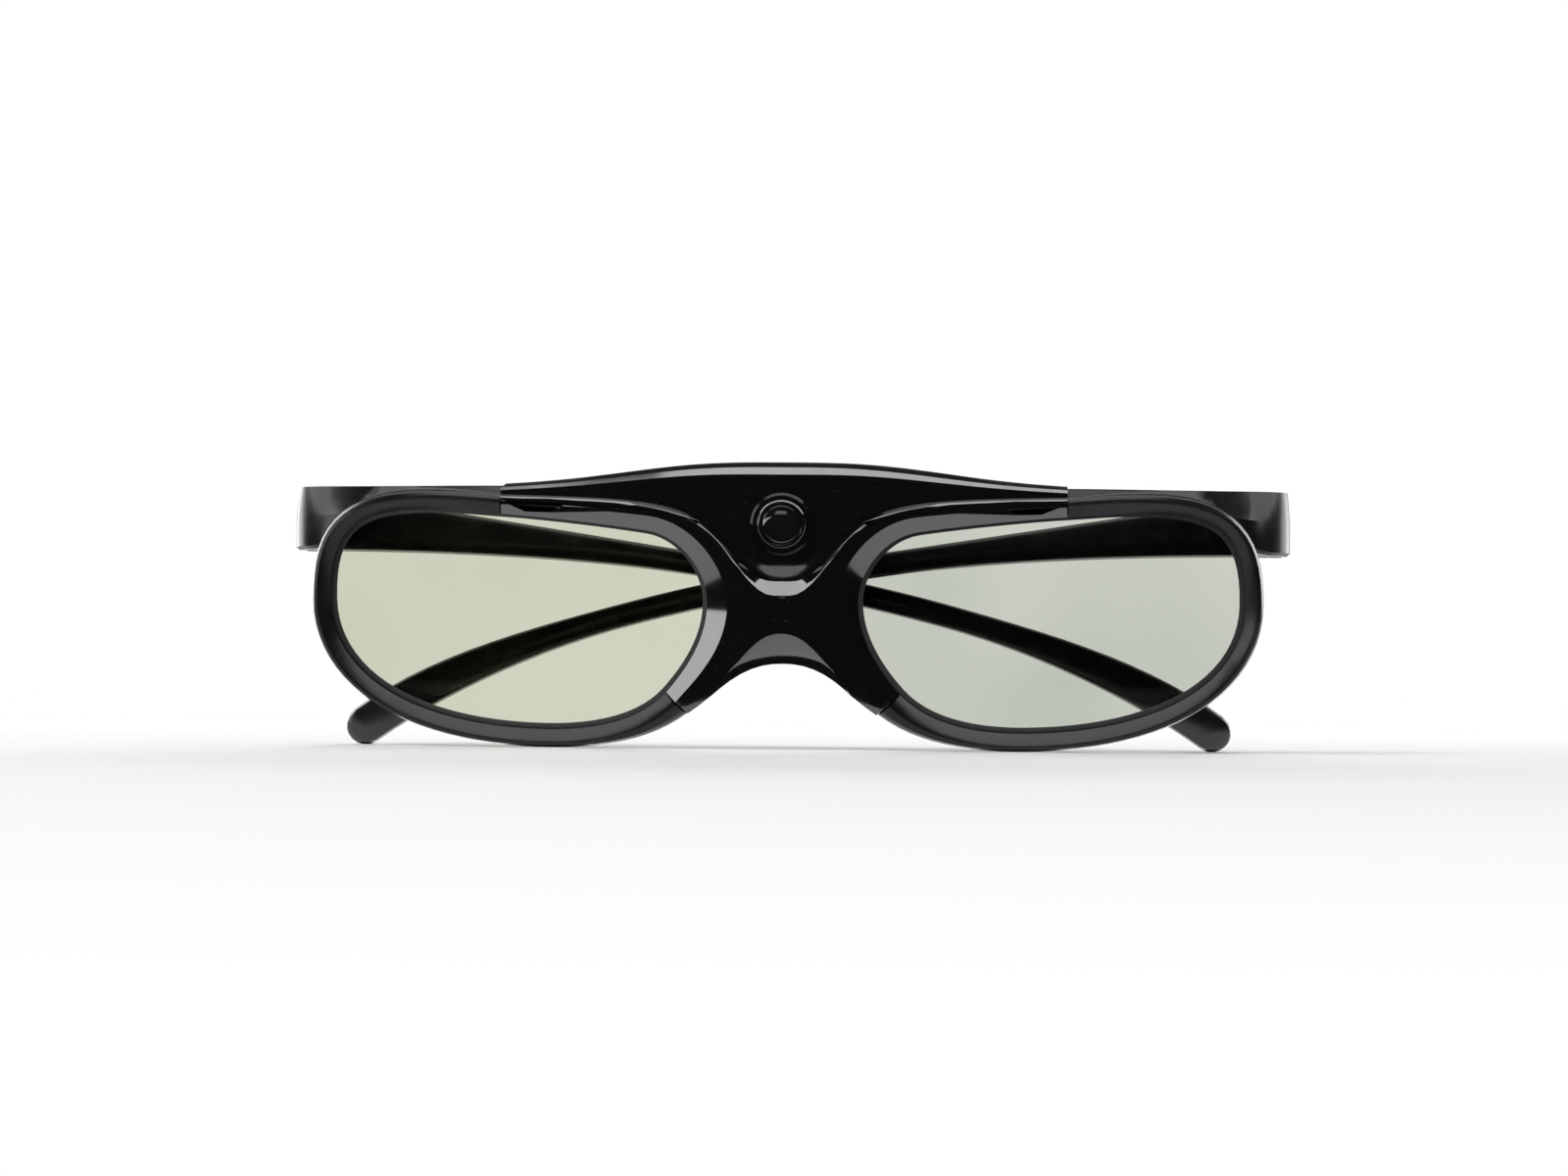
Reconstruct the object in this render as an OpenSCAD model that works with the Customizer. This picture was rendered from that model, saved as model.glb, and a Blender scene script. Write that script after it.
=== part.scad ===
// Folding active-shutter viewing glasses, arms folded, standing on the rims and the arm tips

/* [Front] */
// Reach of the hinge ends beyond the clear lens opening
end_reach = 8.9; // [8.4:0.1:9.4]
// Inner edge of the clear lens opening, from the middle
lens_in = 13.2; // [12.8:0.2:14]
// Fall from the brow to the top of the clear lens opening
lens_drop = 8.5; // [8.2:0.1:8.8]
// Bottom of the clear lens opening
lens_low = 3.6; // [3:0.2:4.2]
// Width of the rim from the clear opening to its outside
rim_w = 3.75; // [3.5:0.05:4.2]
// Width of the rim beside the nose
nose_rim_w = 5.7; // [5:0.1:6.2]
// Top of the brow at the middle
brow_top = 47.3; // [46.7:0.1:48]
// Fall of the brow towards the ends
brow_fall = 5.0; // [4.6:0.1:5.1]
// Top of the nose arch
arch_top = 14.5; // [14:0.1:15]
// Radius of the upper hollow over the nose arch
saddle_r = 20; // [19:0.5:21]
// Radius of the lower hollow over the nose arch
saddle_low_r = 15.2; // [14.8:0.1:15.6]
// Height of the hollows over the nose arch
saddle_h = 5.6; // [5.2:0.1:6]
// Lean of the front, top forwards
front_tilt = 10; // [8:0.5:11]
// Sideways rate of the wrap
wrap_rate = 0.085; // [0.07:0.005:0.095]
// Half width of the nearly flat middle
wrap_soft = 14; // [12:1:18]

/* [Depths] */
// Depth of the front layer
front_t = 3.0; // [2.8:0.1:3.2]
// Gap between neighbouring shells
seam = 0.1; // [0.1:0.01:0.14]
// Depth where the lens ledge starts
ledge_d = 5.06; // [5:0.02:5.3]
// Depth of the rim behind
rim_d = 7.0; // [6.8:0.1:7.6]
// Extra depth along the top of the rims
brow_extra = 1.7; // [1.2:0.1:2]
// Depth of the middle housing
house_d = 11.0; // [10.8:0.1:12]
// Depth of the cover's top wall
top_wall_d = 7.2; // [6.5:0.1:7.4]
// Thickness of the cover's top wall
top_wall_t = 0.9; // [0.7:0.05:1]

/* [Lens] */
// Thickness of the shutter lens
lens_t = 1.5; // [1.2:0.05:1.55]
// How far the lens runs under the rim
lens_lap = 2.4; // [2:0.05:2.45]
// Gap around the edge of the lens
lens_gap = 0.2; // [0.15:0.05:0.3]
// Thickness of the mask gasket
gasket_t = 0.2; // [0.15:0.01:0.22]

/* [Sensor and board] */
// Fall from the brow to the middle of the sensor
sensor_drop = 9.2; // [8.9:0.1:9.5]
// Diameter of the sensor window
sensor_d = 8.2; // [7.6:0.1:8.6]
// Diameter of the raised collar around the window
collar_d = 9.5; // [9.3:0.1:9.7]
// Clearance around the window
sensor_gap = 0.06; // [0.04:0.01:0.1]
// Thickness of the circuit board
board_t = 1.0; // [0.8:0.1:1]
// Depth of the front face of the board
board_d = 5.0; // [4.9:0.05:5.1]
// Floor of the housing
floor_d = 9.7; // [9.6:0.05:9.8]
// Width, height and thickness of the cell
cell = [10, 12, 3]; // [2.6:0.1:12]
// Diameter of the power button
button_d = 5.0; // [4.4:0.1:5.2]
// Travel of the power button
button_travel = 0.4; // [0.3:0.05:0.45]
// Sliding gap around the button
button_gap = 0.08; // [0.05:0.01:0.1]
// Width, height and depth of the charging socket
usb = [7.5, 2.7, 5.4]; // [2.5:0.1:7.8]
// Diameter of the light pipe
led_d = 1.8; // [1.4:0.1:2]
// Diameter of the frame screws
screw_d = 1.6; // [1.4:0.1:1.7]
// Diameter of the frame screw heads
screw_head_d = 2.9; // [2.6:0.1:3]
// Gap around the frame screws in the cover
screw_gap = 0.02; // [0.01:0.01:0.05]

/* [Arms] */
// Outside half width over the hinges
half_w = 84.4; // [83.6:0.2:85.2]
// Distance of the hinge axis behind the middle
hinge_y = 17.0; // [16.5:0.25:18.5]
// Distance from the hinge axis to the outside
hinge_in = 3.0; // [2.8:0.1:3.2]
// Length of an arm behind its butt
arm_len = 155; // [152:1:158]
// Height of the arm at its butt
butt_h = 10.7; // [10:0.1:11]
// Fall from the brow to the middle of the butt
butt_drop = 8.95; // [8.7:0.05:9.2]
// Thickness of the arm at its butt
butt_t = 4.6; // [4.2:0.1:4.8]
// Thickness of the arm at half length
arm_t = 3.1; // [2.8:0.1:3.3]
// Half height of the arm at half length
arm_hh = 2.0; // [1.9:0.05:2.3]
// Half height of the arm tip
tip_hh = 3.3; // [3:0.1:3.6]
// Angle of the inner arm towards the lenses
fold_in = 1.5; // [1.4:0.1:1.8]
// Angle of the outer arm away from the lenses
fold_out = 1.5; // [1.4:0.1:1.8]
// Radius of the hinge knuckles
knuckle_r = 1.85; // [1.75:0.05:1.9]
// Diameter of the hinge screw
pin_d = 1.6; // [1.4:0.1:1.8]
// Running gap of the arm on the hinge screw
pin_gap = 0.05; // [0.02:0.01:0.08]
// Gap between hinge faces
hinge_gap = 0.2; // [0.15:0.01:0.25]

/* [Hidden] */
$fn = 48;
front_z = -0.57;
shift_y = -8.2;
hinge_x = half_w - hinge_in;
lens_out = half_w - end_reach;
deck = brow_top - 0.7;
lens_top = brow_top - lens_drop;
sensor_z = brow_top - sensor_drop;
butt_z = brow_top - butt_drop;
step_low = arch_top + 12.9;
step_rise = brow_top - step_low - 5.1;
seam_u = 46.8;
inner_d = 0.75;
butt_gap = 2.0;

// Closed lens curve as nodes of position, heading and the two handle lengths
lens_nodes = [
  [seam_u, lens_top - 0.5, 3, 5, 4],
  [57, lens_top, 0.5, 4, 14],
  [lens_out, 24.1, -90, 12, 13],
  [40, lens_low, 180, 21, 9],
  [19.9, 10.15, 131, 6, 5],
  [lens_in, 24.9, 90, 6, 4.5],
  [22.6, lens_top - 2.9, 8, 5.5, 9]];
lens_steps = [6, 16, 22, 12, 16, 14, 14];

// Curve helpers
function mix(a, b, t) = a + (b - a) * t;
function unit(x) = max(0, min(1, x));
function ease(x) = let(t = unit(x)) t * t * (3 - 2 * t);
function heading(a) = [cos(a), sin(a)];
function bez(a, b, c, d, t) =
  a * pow(1 - t, 3) + b * 3 * t * pow(1 - t, 2) + c * 3 * t * t * (1 - t) + d * pow(t, 3);
function slope(a, b, c, d, t) =
  (b - a) * pow(1 - t, 2) + (c - b) * 2 * t * (1 - t) + (d - c) * t * t;
function curve_at(p, q, t) =
  let(a = [p[0], p[1]], d = [q[0], q[1]],
      b = a + heading(p[2]) * p[4], c = d - heading(q[2]) * q[3],
      at = bez(a, b, c, d, t), g = slope(a, b, c, d, t), n = [-g[1], g[0]] / norm(g))
  [at[0], at[1], n[0], n[1]];
function lens_at(k, t) = curve_at(lens_nodes[k % 7], lens_nodes[(k + 1) % 7], t);
function lens_run(k0, k1) =
  [for (k = [k0 : k1 - 1]) for (i = [0 : lens_steps[k] - 1]) lens_at(k, i / lens_steps[k])];
function out(q, d) = [q[0] + d * q[2], q[1] + d * q[3]];

// The front is laid out flat and then wrapped back around the face
function wrap(u) = wrap_rate * (sqrt(u * u + wrap_soft * wrap_soft) - wrap_soft);
function fp(u, v, w) = [u, w + wrap(u), v];
function fq(p, w) = fp(p[0], p[1], w);

// Lines of the front seen from ahead
function brow(u) = brow_top - brow_fall * pow(u, 3) / (pow(u, 3) + pow(32, 3));
function step_line(u) = step_low + step_rise * pow(u, 3) / (pow(u, 3) + pow(9.7, 3));
function step_half(u) = 0.25 + 0.9 * exp(-pow(u / 6, 2));
nose_end = out(lens_at(3, 1), nose_rim_w);
function arch(u) = let(x = u / nose_end[0])
  arch_top - (arch_top - nose_end[1]) * pow(x, 2.4) * (1.55 - 0.55 * x * x);
function bridge_w(u) = -0.7 * exp(-pow(u / 11, 2));
function panel_w(u, v) = 0.9 + 0.55 * exp(-pow(u / 8, 2)) * ease((v - step_line(u) - step_half(u)) / 3.4)
  * (1 - ease((v - deck + 7) / 5));
function bevel_h(u) = mix(1.05, 0.45, ease(u / seam_u));
function widen(i, n) = (nose_rim_w - rim_w) * pow(unit((i - n + lens_steps[3]) / lens_steps[3]), 2);

// Skin between rings of points, with the ends closed by the given triangles
module skin(rings, closed = false, cap = []) {
  n = len(rings);
  m = len(rings[0]);
  last = closed ? n : n - 1;
  sides = [for (i = [0 : last - 1]) for (j = [0 : m - 1]) for (h = [0, 1])
    let(a = i * m + j, b = i * m + (j + 1) % m, c = ((i + 1) % n) * m + (j + 1) % m,
        d = ((i + 1) % n) * m + j)
    h == 0 ? [a, b, c] : [a, c, d]];
  ends = closed ? [] : [for (t = cap) for (h = [0, 1])
    h == 0 ? [t[2], t[1], t[0]] : [for (x = t) x + (n - 1) * m]];
  polyhedron([for (r = rings) for (p = r) p], concat(sides, ends));
}

// Skin of a shape that is the same on both sides of the middle
module twin_skin(cols, same, cap) {
  n = len(cols);
  m = len(cols[0]);
  all = [for (c = cols) for (p = c) p];
  k = n * m;
  points = concat(all, [for (p = all) [-p[0], p[1], p[2]]]);
  right = [for (i = [0 : n - 2]) for (j = [0 : m - 1]) for (h = [0, 1])
    let(a = [i, j], b = [i, (j + 1) % m], c = [i + 1, (j + 1) % m], d = [i + 1, j],
        f = h == 0 ? [a, b, c] : [a, c, d])
    [for (x = f) x[0] * m + same(x[0], x[1])]];
  ends = [for (t = cap) for (h = [0, 1])
    h == 0 ? [for (x = [t[2], t[1], t[0]]) same(0, x)]
           : [for (x = t) (n - 1) * m + same(n - 1, x)]];
  faces = [for (f = concat(right, ends))
    if (f[0] != f[1] && f[1] != f[2] && f[0] != f[2])
      if (all[f[0]][0] != 0 || all[f[1]][0] != 0 || all[f[2]][0] != 0) f];
  left = [for (f = faces) [for (x = [f[2], f[1], f[0]]) all[x][0] == 0 ? x : x + k]];
  polyhedron(points, concat(faces, left));
}

// Places the front leaning, with the middle of the depth on the origin
module lean() {
  translate([0, shift_y, front_z])
    rotate([front_tilt, 0, 0])
      children();
}

// Places the upright pieces at the hinges likewise
module upright() {
  translate([0, shift_y, 0])
    children();
}

// Round bar along the depth of the front
module along(u, v, w0, w1, d) {
  translate([u, w0, v])
    rotate([-90, 0, 0])
      cylinder(h = w1 - w0, d = d);
}

// Flat outline of the front given a depth and thickness
module plate(points, w0, w1) {
  translate([0, w1, 0])
    rotate([90, 0, 0])
      linear_extrude(height = w1 - w0)
        polygon(points);
}

// Columns of the middle part of the front, from the low seam to the top seam
mid_run = concat(lens_run(4, 7), [lens_at(6, 1)]);
arch_n = 9;
ridge_n = 16;
corner_n = 30;
last_n = len(mid_run) - 1;
function edge_u(i) = i <= arch_n ? nose_end[0] * (1 - i / arch_n)
  : i <= ridge_n ? 0
  : i <= corner_n ? 17 * (i - ridge_n) / (corner_n - ridge_n)
  : mix(17, seam_u, (i - corner_n) / (last_n - corner_n));
function edge_v(i) = i <= arch_n ? arch(edge_u(i))
  : i <= ridge_n ? mix(arch_top, step_line(0) - step_half(0), (i - arch_n) / (ridge_n - arch_n))
  : step_line(edge_u(i)) - step_half(edge_u(i));
function wall_d(u) = mix(top_wall_d, front_t + 0.05, ease((u - 28) / 12));
function edge_in(i) = min(edge_v(i), brow(edge_u(i)) - top_wall_t - 0.25);

// Gloss cover: rows run from the lens edge over the land, the step and the brow to the top wall
low_n = lens_steps[4];
nose_n = lens_steps[4] + lens_steps[5];
function chamfer_d(i) = i < low_n ? mix(2.9, 4.2, ease(i / low_n))
  : i < nose_n ? mix(4.2, 3.4, (i - low_n) / (nose_n - low_n))
  : mix(3.4, 2.5, (i - nose_n) / (last_n - nose_n));
cover_land = [0.2, 0.4, 0.6, 0.75, 0.9];
cover_brow = [0.06, 0.12, 0.18, 0.25, 0.45, 0.75];
function cover_col(i) =
  let(q = mid_run[i], u = edge_u(i), v = edge_v(i), t = brow(u), bh = bevel_h(u),
      a = out(q, inner_d), c = out(q, chamfer_d(i)), low = step_line(u) + step_half(u))
  concat(
    [fq(a, min(1.8, 0.62 * (chamfer_d(i) - inner_d))), fq(c, 0)],
    [for (f = cover_land) let(p = mix(c, [u, v], f)) fq(p, bridge_w(p[0]) * ease(f * 1.3))],
    [fp(u, v, bridge_w(u))],
    [fp(u, low, panel_w(u, low))],
    [for (f = cover_brow) let(h = mix(low, t - bh, f)) fp(u, h, panel_w(u, h))],
    [fp(u, t - bh, 0.9), fp(u, t, 0.9 + 1.05 * bh), fp(u, t, wall_d(u))],
    [fp(u, t - top_wall_t, wall_d(u)), fp(u, t - top_wall_t, front_t)],
    [fp(u, i < ridge_n ? v : edge_in(i), front_t), fq(a, front_t)]);
cover_same = function(i, j) i < ridge_n && j > 7 && j < 18 ? 7 : i < ridge_n && (j == 18 || j == 19) ? 20 : j;
cover_cap = concat([for (k = [0 : 3]) [21, k, k + 1]], [[21, 4, 20]], [for (k = [4 : 9]) [20, k, k + 1]], [[20, 10, 19]],
                   [for (k = [10 : 15]) [19, k, k + 1]], [[19, 16, 18], [18, 16, 17]]);

// Hollow over the nose arch: a round cut that leans back from the given point
module hollow(v, w, lean_by, r) {
  translate([0, w, v])
    rotate([lean_by, 0, 0])
      translate([0, -r, 0])
        cylinder(h = 90, r = r, center = true, $fn = 160);
}
screw_at = [[30, deck - 5], [5, arch_top + 7]];
function head_w(u) = rim_d + 0.6 + wrap(u);

module centre_cover() {
  color([0.03, 0.03, 0.035])
    lean()
      difference() {
        union() {
          twin_skin([for (i = [0 : last_n]) cover_col(i)], cover_same, cover_cap);
          translate([0, 0.55, sensor_z])
            rotate([-90, 0, 0])
              cylinder(h = 1.5, d1 = collar_d, d2 = collar_d + 1.8);
        }
        hollow(arch_top + saddle_h, -0.7, 23, saddle_r);
        hollow(arch_top + 2.2, 0.74, 42, saddle_low_r);
        along(0, sensor_z, -2, 2.2, sensor_d + 2 * sensor_gap);
        along(0, sensor_z, 1, 8, sensor_d - 1.6);
        for (s = [-1, 1])
          for (p = screw_at)
            along(s * p[0], p[1], 1.7 + wrap(p[0]) * 0.9, 9, screw_d + 2 * screw_gap);
      }
}

// Side rim: a C-shaped band with an inner bevel and a rounded outside
bezel_profile = [[inner_d, front_t], [inner_d, 1.8], [2.3, 0.25], [2.75, 0], [3.3, 0.25], [3.6, 0.9],
                 [rim_w, 1.7], [rim_w, front_t]];
bezel_all = lens_run(0, 4);
bezel_run = concat([lens_at(0, 0.02)], [for (i = [1 : len(bezel_all) - 1]) bezel_all[i]], [lens_at(3, 0.985)]);
function bezel_d(d, extra) = d <= 2.5 ? d : d + extra * (d - 2.5) / (rim_w - 2.5);

module bezel() {
  n = len(bezel_run) - 1;
  rings = [for (i = [0 : n]) [for (p = bezel_profile)
    fq(out(bezel_run[i], bezel_d(p[0], widen(i, n))), p[1] == 1.8 ? mix(1.1, 1.8, ease(i / 10)) : p[1])]];
  skin(rings, cap = [[0, 1, 7], [1, 2, 7], [2, 6, 7], [2, 5, 6], [2, 4, 5], [2, 3, 4]]);
}

module left_bezel() {
  color([0.09, 0.09, 0.095])
    lean()
      bezel();
}

module right_bezel() {
  color([0.09, 0.09, 0.095])
    lean()
      mirror([1, 0, 0])
        bezel();
}

// Rear rim: a closed band with the ledge that holds the lens
rear_run = concat(lens_run(0, 7));
rear_profile = [[lens_lap + lens_gap, front_t + seam], [lens_lap + lens_gap, ledge_d], [0.8, ledge_d], [1.2, rim_d - 0.4],
                [2.2, rim_d], [3.2, rim_d - 0.2], [rim_w - 0.05, rim_d - 0.9],
                [rim_w - 0.05, front_t + seam]];
rear_low = lens_steps[0] + lens_steps[1] + lens_steps[2] + lens_steps[3];
function rear_extra(i) = i <= rear_low ? widen(i, rear_low) : (nose_rim_w - rim_w) * unit(1 - (i - rear_low) / 6);
module rear_rim() {
  rings = [for (i = [0 : len(rear_run) - 1]) let(q = rear_run[i])
    [for (k = [len(rear_profile) - 1 : -1 : 0]) let(p = rear_profile[k])
      fq(out(q, bezel_d(p[0], rear_extra(i))), p[1] + (p[1] > ledge_d + 0.5 ? brow_extra * max(0, q[3]) : 0))]];
  skin(rings, closed = true);
}

// Middle housing behind the gloss cover
function house_w(u, v) = rim_d + 0.4 + (house_d - rim_d - 0.4) * unit((v - 14) / 14) / (1 + pow(u / 34, 6));
function house_col(i) =
  let(q = mid_run[i], u = edge_u(i), v = i < ridge_n ? edge_v(i) : edge_in(i) - 0.1, t = brow(u),
      a = out(q, 3), w = house_w(u, t), f = front_t + seam + 0.15,
      s = max(wall_d(u) + seam + 0.04, f + 0.15))
  [fq(a, f), fp(u, v, f), fp(u, t - top_wall_t - 0.1, f), fp(u, t - top_wall_t - 0.1, s), fp(u, t - 0.12, s),
   fp(u, t - 0.12, w - 0.5), fp(u, t - 0.7, w), fp(u, v - 0.1, house_w(u, v)), fq(a, house_w(a[0], a[1]))];
house_same = function(i, j) i < ridge_n && (j == 2 || j == 3) ? 1 : i < ridge_n && j > 3 && j < 7 ? 7 : j;
house_cap = [[8, 0, 1], [8, 1, 7], [7, 1, 2], [7, 2, 3], [7, 3, 6], [6, 3, 5], [5, 3, 4]];

// Room behind the cover for the board and what sits on it, measured from the middle and the brow
room_half = [[23.6, -6.3], [23.6, -3.6], [12, -1.9]];
room_low = [[8.5, -14.6], [14, -8]];
room_gap = 0.5;
function below_brow(points, g) = [for (p = points) [p[0] - g, deck + p[1] - g]];
function flip(points) = [for (i = [len(points) - 1 : -1 : 0]) [-points[i][0], points[i][1]]];
function room_line(g) =
  let(side = concat([for (p = room_low) [p[0] - g, deck + p[1] + g]],
                    [[room_half[0][0] - g, deck + room_half[0][1] + g]],
                    below_brow([room_half[1], room_half[2]], g)))
  concat(side, flip(side));
button_at = [8.5, deck - 5.7];
led_at = [12.9, deck - 5];
usb_at = [18.6, deck - 5];
post_at = [[-17, deck - 4.9], [5.4, deck - 12.2]];
flex_u = [20.4, 23.2];

// End pieces swing back from the rims to the hinges
end_knots = [[seam_u - 0.8, 1.75], [lens_out - 15.5, 2.9], [half_w - 2.5, 4.6], [half_w - 2.5, hinge_y - butt_gap]];
function end_path(t) = bez(end_knots[0], end_knots[1], end_knots[2], end_knots[3], t);
function end_head(t) = slope(end_knots[0], end_knots[1], end_knots[2], end_knots[3], t);
butt_top = butt_z + butt_h / 2;
butt_low = butt_z - butt_h / 2;
function end_ring(t) =
  let(c = end_path(t), g = end_head(t), n = [g[1], -g[0]] / norm(g), h = 2.5, top = mix(butt_top - 0.15, butt_top, t),
      low = mix(butt_top - 3.4, butt_low, ease((c[0] - lens_out + 9.5) / 13)),
      cut = mix(2.4, 4.2, ease(t * 2.2)) - 3.8 * ease((t - 0.55) / 0.45),
      edge = max(low + 1, butt_top - mix(1.8, 5.2, ease(t * 1.25))))
  [for (p = [[h, low + 0.5], [h, edge], [h - cut, top], [-h + 0.5, top], [-h, top - 0.5], [-h, low], [h - 0.5, low]])
    [c[0] + n[0] * p[0], c[1] + n[1] * p[0], p[1]]];

knuckle_low = butt_z - 2;
knuckle_high = butt_z + 2;
lug_h = 2.4;
lug_out = 0.85;

module hinge_lugs() {
  for (z = [knuckle_low - hinge_gap - lug_h, knuckle_high + hinge_gap]) {
    translate([hinge_x, hinge_y, z])
      cylinder(h = lug_h, r = knuckle_r);
    translate([hinge_x - knuckle_r, hinge_y - 4.5, z])
      cube([knuckle_r + lug_out, 4.5, lug_h]);
  }
}

module end_piece() {
  difference() {
    union() {
      skin([for (i = [0 : 18]) end_ring(i / 18)], cap = [[0, 1, 6], [1, 5, 6], [1, 2, 5], [2, 4, 5], [2, 3, 4]]);
      hinge_lugs();
    }
    translate([hinge_x, hinge_y, butt_low - 1])
      cylinder(h = butt_h + 2, d = pin_d);
    translate([hinge_x, hinge_y, knuckle_low - hinge_gap])
      cylinder(h = 4 + 2 * hinge_gap, r = knuckle_r + 0.35);
  }
}

module rear_frame() {
  color([0.08, 0.08, 0.085])
    union() {
      for (s = [0, 1])
        mirror([s, 0, 0])
          difference() {
            upright()
              end_piece();
            lean()
              lens_room();
          }
      lean()
        difference() {
          union() {
            for (s = [0, 1])
              mirror([s, 0, 0])
                rear_rim();
            twin_skin([for (i = [0 : last_n]) house_col(i)], house_same, house_cap);
          }
          plate(room_line(0), 1, floor_d);
          for (s = [-1, 1]) {
            translate([s > 0 ? flex_u[0] - 0.4 : -flex_u[1] - 0.4, 2, deck - 9.4])
              cube([flex_u[1] - flex_u[0] + 0.8, 4.4, 3.6]);
            for (p = screw_at) {
              along(s * p[0], p[1], 1, 16, screw_d + 0.2);
              along(s * p[0], p[1], head_w(p[0]), 16, screw_head_d + 0.2);
            }
          }
          along(button_at[0], button_at[1], 9, 16, button_d + 2 * button_gap);
          along(led_at[0], led_at[1], 9, 16, led_d + 0.1);
          translate([usb_at[0] - usb[0] / 2 - 0.1, 9, usb_at[1] - usb[1] / 2 - 0.1])
            cube([usb[0] + 0.2, 7, usb[1] + 0.2]);
        }
      lean()
        for (p = post_at)
          along(p[0], p[1], board_d + board_t, floor_d + 0.3, 2.2);
    }
}

// Shutter lens laid in the rear rim, flat and turned to the wrap
lens_chord = [lens_in - lens_lap, lens_out + lens_lap];
lens_rise = (wrap(lens_chord[1]) - wrap(lens_chord[0])) / (lens_chord[1] - lens_chord[0]);
module in_rim(d) {
  translate([lens_chord[0] + (front_t + 1) * lens_rise, wrap(lens_chord[0]), 0])
    rotate([0, 0, atan(lens_rise)])
      translate([-lens_chord[0], d, 0])
        children();
}

// Room for the lens, cleared through the end pieces as well
module lens_room() {
  in_rim(0)
    plate([for (q = rear_run) out(q, lens_lap + lens_gap)], front_t - 1, 18);
}

module lens() {
  in_rim(front_t + 0.3)
    plate([for (q = rear_run) out(q, lens_lap)], 0, lens_t);
}

module gasket() {
  in_rim(front_t + 0.29 - gasket_t)
    difference() {
      plate([for (q = rear_run) out(q, lens_lap - 0.1)], 0, gasket_t);
      plate([for (q = rear_run) out(q, 0)], -1, 1);
    }
}

module left_lens() {
  color([0.78, 0.82, 0.7, 0.5])
    lean()
      lens();
}

module right_lens() {
  color([0.78, 0.82, 0.7, 0.5])
    lean()
      mirror([1, 0, 0])
        lens();
}

module left_gasket() {
  color([0.02, 0.02, 0.02])
    lean()
      gasket();
}

module right_gasket() {
  color([0.02, 0.02, 0.02])
    lean()
      mirror([1, 0, 0])
        gasket();
}

// Sensor window with a flange ring and a low dome
module sensor_window() {
  r = sensor_d / 2;
  color([0.05, 0.04, 0.06])
    lean()
      translate([0, 2.2, sensor_z])
        rotate([90, 0, 0])
          rotate_extrude()
            polygon(concat([[0, 0], [r, 0], [r, 1.9], [r - 0.3, 2.2], [r - 0.8, 2.2], [r - 0.9, 1.9]],
              [for (i = [1 : 6]) [(r - 0.9) * cos(90 * i / 6), 1.9 + 0.6 * sin(90 * i / 6)]]));
}

module photodiode() {
  color([0.1, 0.1, 0.14])
    lean() {
      translate([-2.2, board_d - 1.3, sensor_z - 2.2])
        cube([4.4, 1.3, 4.4]);
      along(0, sensor_z, board_d - 1.8, board_d - 1.2, 3.2);
    }
}

// Circuit board with its soldered chips
module main_board() {
  color([0.05, 0.25, 0.12])
    lean() {
      plate(room_line(room_gap), board_d, board_d + board_t);
      translate([-10.5, board_d - 0.9, deck - 6.6])
        cube([4, 0.95, 4]);
      translate([5.2, board_d - 0.7, deck - 7])
        cube([3, 0.75, 2.2]);
      translate([-17.2, board_d - 0.6, deck - 5.6])
        cube([2.4, 0.65, 1.6]);
    }
}

cell_at = [-7.8, deck - 14.1];
module battery() {
  color([0.72, 0.73, 0.75])
    lean()
      translate([cell_at[0], board_d + board_t + 0.3, cell_at[1]])
        cube([cell[0], cell[2], cell[1]]);
}

module battery_leads() {
  color([0.6, 0.08, 0.06])
    lean()
      for (v = [3.5, 5.5])
        translate([cell_at[0] + cell[0], board_d + board_t, cell_at[1] + v]) {
          translate([0, 1.2, 0])
            rotate([0, 90, 0])
              cylinder(h = 1.4, d = 0.8);
          translate([1.4, 1.2, 0])
            sphere(d = 0.8);
          translate([1.4, 0, 0])
            rotate([-90, 0, 0])
              cylinder(h = 1.2, d = 0.8);
        }
}

module usb_socket() {
  color([0.68, 0.68, 0.7])
    lean()
      translate([usb_at[0] - usb[0] / 2, board_d + board_t, usb_at[1] - usb[1] / 2])
        difference() {
          cube([usb[0], usb[2], usb[1]]);
          translate([0.35, 1, 0.35])
            cube([usb[0] - 0.7, usb[2], usb[1] - 0.7]);
        }
}

module tact_switch() {
  color([0.75, 0.75, 0.76])
    lean() {
      translate([button_at[0] - 2, board_d + board_t, button_at[1] - 2])
        cube([4, 1.6, 4]);
      along(button_at[0], button_at[1], board_d + board_t + 1.5, board_d + board_t + 2.2, 2);
    }
}

module power_button() {
  color([0.1, 0.1, 0.11])
    lean() {
      along(button_at[0], button_at[1], board_d + board_t + 2.3 + button_travel, floor_d - 0.1, button_d + 1);
      along(button_at[0], button_at[1], floor_d - 0.3, house_d + 0.6 + wrap(button_at[0]), button_d);
    }
}

module status_led() {
  color([0.9, 0.9, 0.92])
    lean()
      along(led_at[0], led_at[1], board_d + board_t, house_d + 0.15 + wrap(led_at[0]), led_d);
}

// Ribbon from the lens edge to the board
module flex() {
  lean()
    translate([flex_u[0], 0, 0])
      rotate([90, 0, 90])
        linear_extrude(height = flex_u[1] - flex_u[0] - 0.6)
          polygon([for (p = [[5.3, -8.1], [5.3, -7.4], [4.98, -6.7], [4.98, -4.3], [4.8, -4.3], [4.8, -6.8], [5.1, -7.5],
                             [5.1, -8.1]]) [p[0], deck + p[1]]]);
}

module left_flex() {
  color([0.75, 0.5, 0.15])
    flex();
}

module right_flex() {
  color([0.75, 0.5, 0.15])
    mirror([1, 0, 0])
      flex();
}

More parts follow.
